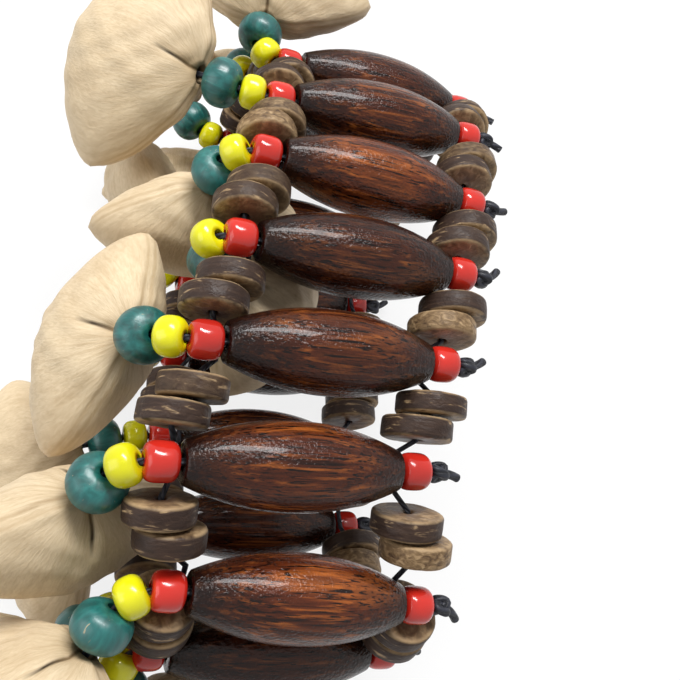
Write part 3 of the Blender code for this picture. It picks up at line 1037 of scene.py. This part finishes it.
class BRACELET_OT_nutshells(BraceletOperator, bpy.types.Operator):
    """Make the hanging nutshells"""

    bl_idname = "bracelet.nutshells"
    bl_label = "Nutshells"

    def execute(self, context):
        lay = Lay()
        bare = bare_nutshell()
        for number, row in enumerate(lay.rows, 1):
            seed = (number * SHELL_SEED) % 1
            mesh = shell_mesh(f"hanging_nutshell_{number:02d}", SHELL_SIZE[row.index], seed)
            mesh.materials.append(bare)
            mesh.transform(lay.shell_frame(row))
            node = f"nutshell_{number:02d}"
            settle(add_object(mesh.name, mesh), f"shell_{number:02d}", [node])
        return {"FINISHED"}


class BRACELET_OT_stage(BraceletOperator, bpy.types.Operator):
    """Make the floor, the soft light and the camera"""

    bl_idname = "bracelet.stage"
    bl_label = "Stage"

    def execute(self, context):
        self.floor()
        self.light("softbox", (0.08, 0.20, 0.44), wide=(0.30, 0.10), power=2.8)
        self.light("fill", (-0.34, -0.10, 0.34), wide=(0.36, 0.36), power=0.9)
        self.world(context.scene)
        self.camera(context.scene)
        context.scene.view_settings.view_transform = "Standard"
        return {"FINISHED"}

    def floor(self):
        f = Finish("pale_floor")
        f.set(Base_Color=(*colours().floor, 1), Roughness=0.9)
        away = f.length(f.node("ShaderNodeTexCoord").outputs["Object"])
        share = f.math("MULTIPLY", self.seen(f), f.span(away, *FLOOR_FADE))
        white = f.node("ShaderNodeEmission", Color=(1, 1, 1, 1), Strength=1.0)
        mixed = f.node("ShaderNodeMixShader", _0=share, _1=f.shader, _2=white)
        f.feed(f.tree.nodes["Material Output"], "Surface", mixed)
        mesh = bpy.data.meshes.new("floor")
        wide = FLOOR_HALF
        corners = [(-wide, -wide, 0), (wide, -wide, 0), (wide, wide, 0), (-wide, wide, 0)]
        mesh.from_pydata(corners, [], [(0, 1, 2, 3)])
        mesh.materials.append(f.material)
        add_object("floor", mesh)

    def seen(self, f):
        """1 for what the camera sees, straight, mirrored or through glass."""
        path = f.node("ShaderNodeLightPath").outputs
        mirrored = f.math("MAXIMUM", path["Is Glossy Ray"], path["Is Transmission Ray"])
        return f.math("MAXIMUM", path["Is Camera Ray"], mirrored)

    def light(self, name, place, wide, power):
        lamp = bpy.data.lights.new(name, "AREA")
        lamp.shape = "RECTANGLE"
        lamp.size, lamp.size_y = wide
        lamp.energy = power
        obj = add_object(name, lamp)
        way = Vector(LAMP_TARGET) - Vector(place)
        turned = way.to_track_quat("-Z", "Y").to_matrix().to_4x4()
        obj.matrix_world = Matrix.Translation(place) @ turned

    def world(self, scene):
        scene.world = bpy.data.worlds.new("white_room")
        scene.world.use_nodes = True
        f = Tree(scene.world.node_tree)
        lit = f.tree.nodes["Background"]
        lit.inputs["Color"].default_value = (1, 1, 1, 1)
        lit.inputs["Strength"].default_value = WORLD_LIGHT
        white = f.node("ShaderNodeBackground", Color=(1, 1, 1, 1), Strength=1.0)
        mixed = f.node("ShaderNodeMixShader", _0=self.seen(f), _1=lit, _2=white)
        f.feed(f.tree.nodes["World Output"], "Surface", mixed)

    def camera(self, scene):
        way = Vector(CAMERA_WAY).normalized()
        right = Vector(CAMERA_RIGHT)
        right = (right - way * right.dot(way)).normalized()
        placed = Matrix((right, -way.cross(right), -way)).transposed().to_4x4()
        placed.translation = CAMERA_PLACE
        lens = bpy.data.cameras.new("camera")
        lens.sensor_width = SENSOR
        lens.lens = SENSOR * CAMERA_FOCAL
        lens.clip_start = 0.001
        obj = add_object("camera", lens)
        obj.matrix_world = Lay().frame @ placed
        scene.camera = obj


MAKERS = (
    BRACELET_OT_cords,
    BRACELET_OT_barrels,
    BRACELET_OT_small_beads,
    BRACELET_OT_discs,
    BRACELET_OT_nutshells,
    BRACELET_OT_stage,
)


class BRACELET_PT_panel(bpy.types.Panel):
    """Lists the bracelet's makers and its sizes and colours"""

    bl_idname = "BRACELET_PT_panel"
    bl_label = "Shaker Bracelet"
    bl_space_type = "VIEW_3D"
    bl_region_type = "UI"
    bl_category = "Shaker Bracelet"

    def draw(self, context):
        for maker in MAKERS:
            self.layout.operator(maker.bl_idname)
        for group in (context.scene.bracelet_sizes, context.scene.bracelet_colours):
            column = self.layout.column()
            for name in group.__annotations__:
                column.prop(group, name)


CLASSES = (BraceletSizes, BraceletColours, *MAKERS, BRACELET_PT_panel)


def register():
    for made in CLASSES:
        bpy.utils.register_class(made)
    bpy.types.Scene.bracelet_sizes = bpy.props.PointerProperty(type=BraceletSizes)
    bpy.types.Scene.bracelet_colours = bpy.props.PointerProperty(type=BraceletColours)


def unregister():
    del bpy.types.Scene.bracelet_sizes
    del bpy.types.Scene.bracelet_colours
    for made in reversed(CLASSES):
        bpy.utils.unregister_class(made)


def main():
    register()
    bpy.ops.bracelet.cords()
    bpy.ops.bracelet.barrels()
    bpy.ops.bracelet.small_beads()
    bpy.ops.bracelet.discs()
    bpy.ops.bracelet.nutshells()
    bpy.ops.bracelet.stage()


if __name__ == "__main__":
    main()
